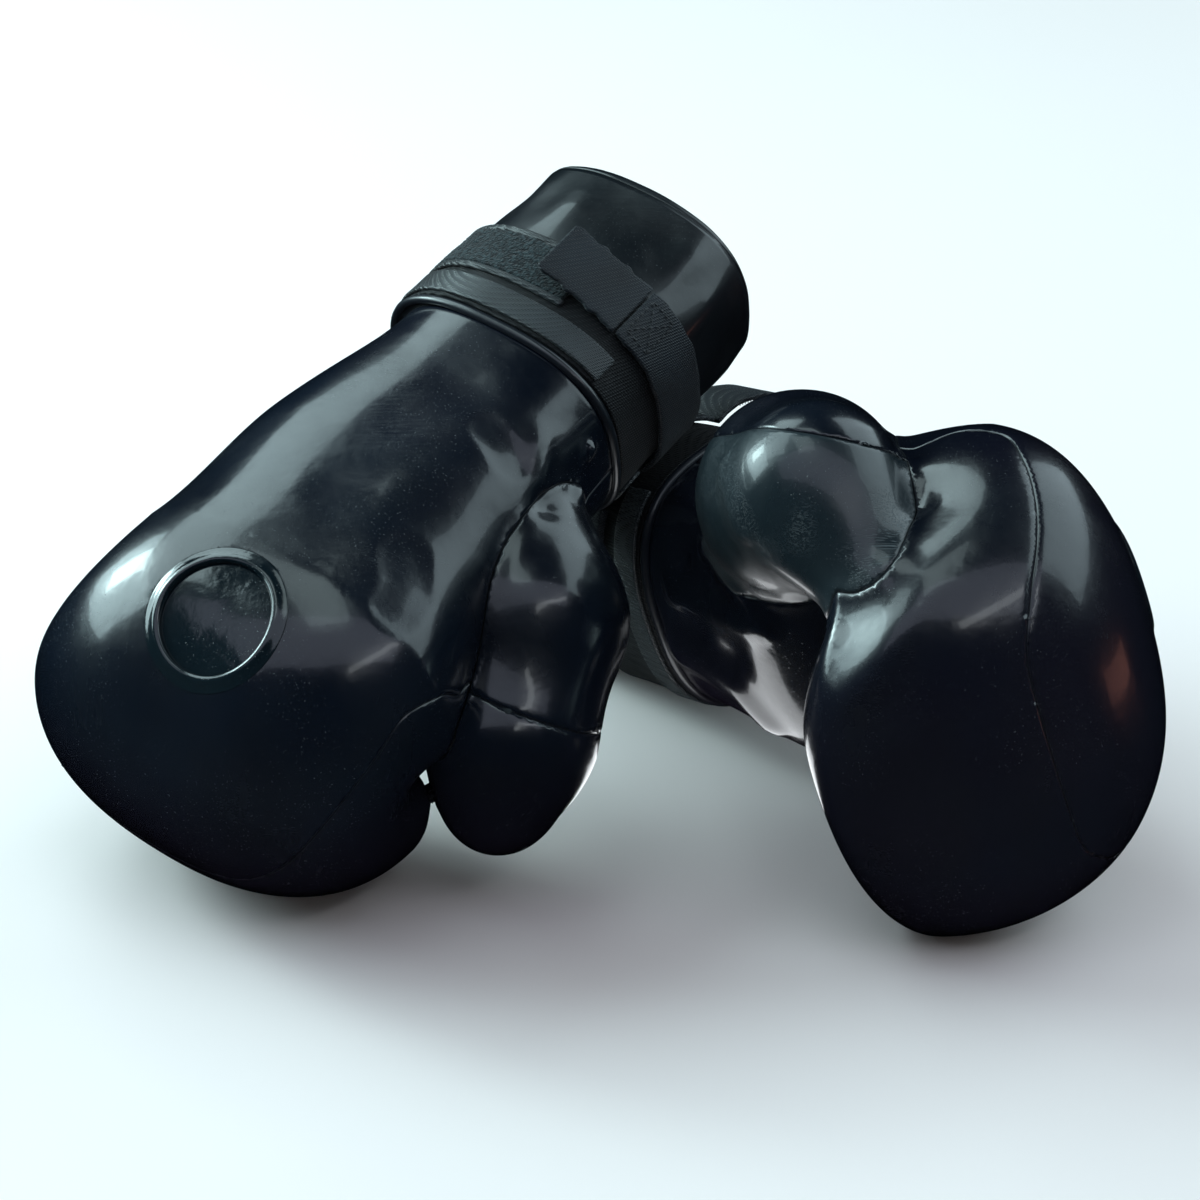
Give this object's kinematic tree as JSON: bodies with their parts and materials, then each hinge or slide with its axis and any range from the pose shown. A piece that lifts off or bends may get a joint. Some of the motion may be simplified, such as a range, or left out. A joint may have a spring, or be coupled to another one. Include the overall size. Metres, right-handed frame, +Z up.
{
  "type": "pair of padded rubber mitts",
  "caption": "Pair of padded, curled rubber mitts with attached thumbs, smooth cuffs, a round badge on the knuckles and hook-and-loop wrist straps.",
  "frame": {"origin": "centre of the resting pair, on the surface that it lies on", "axes": "+Z up, +X along the pair from the right mitt to the left mitt, -Y towards the fingers"},
  "size_m": [0.4114, 0.2853, 0.2127],
  "materials": {
    "rubber": "polished black rubber, nearly mirror-like, with fine dust and scratches",
    "sleeve_rubber": "polished black rubber, softer folds",
    "badge_rubber": "polished ring, duller dished centre",
    "foam": "dense foam padding",
    "lining_cloth": "dark woven lining",
    "band_webbing": "satin black band",
    "loop_pile": "fuzzy loop pile",
    "hook_tape": "moulded hooks",
    "binding": "smooth rolled edge",
    "strap_webbing": "coated webbing, satin",
    "thread": "twisted sewing thread"
  },
  "bodies": {
    "left_glove": {"left_back_panel": "rubber", "left_palm_panel": "rubber", "left_thumb_shell": "rubber", "left_thumb_tip_cap": "rubber", "left_back_pad": "foam", "left_palm_pad": "foam", "left_thumb_pad": "foam", "left_lining": "lining_cloth", "left_badge_ring": "badge_rubber", "left_badge_dome": "badge_rubber", "left_thumb_link": "rubber", "left_sleeve": "sleeve_rubber", "left_sleeve_rim": "sleeve_rubber", "left_wrist_band": "band_webbing", "left_pile_panel": "loop_pile", "left_hem_rear": "binding", "left_hem_front": "binding", "left_cuff_tape": "band_webbing", "left_wrist_welt": "binding", "left_strap": "strap_webbing", "left_box_stitch": "thread", "left_strap_anchor": "strap_webbing"},
    "left_tab_body": {"left_strap_tab": "strap_webbing", "left_hook_patch": "hook_tape"},
    "right_glove": {"right_back_panel": "rubber", "right_palm_panel": "rubber", "right_thumb_shell": "rubber", "right_thumb_tip_cap": "rubber", "right_back_pad": "foam", "right_palm_pad": "foam", "right_thumb_pad": "foam", "right_lining": "lining_cloth", "right_badge_ring": "badge_rubber", "right_badge_dome": "badge_rubber", "right_thumb_link": "rubber", "right_sleeve": "sleeve_rubber", "right_sleeve_rim": "sleeve_rubber", "right_wrist_band": "band_webbing", "right_pile_panel": "loop_pile", "right_hem_rear": "binding", "right_hem_front": "binding", "right_cuff_tape": "band_webbing", "right_wrist_welt": "binding", "right_strap_anchor": "strap_webbing"},
    "right_strap_body": {"right_strap": "strap_webbing", "right_box_stitch": "thread"},
    "right_tab_body": {"right_strap_tab": "strap_webbing", "right_hook_patch": "hook_tape"}
  },
  "joints": [
    {"name": "right_glove_lift", "type": "slide", "parent": "left_glove", "child": "right_glove", "axis": [0, 0, 1], "range_m": [0, 0.25]},
    {"name": "left_tab_peel", "type": "hinge", "parent": "left_glove", "child": "left_tab_body", "pos_m": [0.03718, 0.09605, 0.10917], "axis": [0.6528, -0.7301, 0.2019], "range_deg": [-12, 45]},
    {"name": "right_strap_open", "type": "hinge", "parent": "right_glove", "child": "right_strap_body", "pos_m": [0.02343, 0.04725, 0.11993], "axis": [0.5956, 0.7329, 0.3289], "range_deg": [0, 34]},
    {"name": "right_tab_peel", "type": "hinge", "parent": "right_strap_body", "child": "right_tab_body", "pos_m": [0.01274, 0.0264, 0.18576], "axis": [0.5956, 0.7329, 0.3289], "range_deg": [-6, 50]}
  ]
}
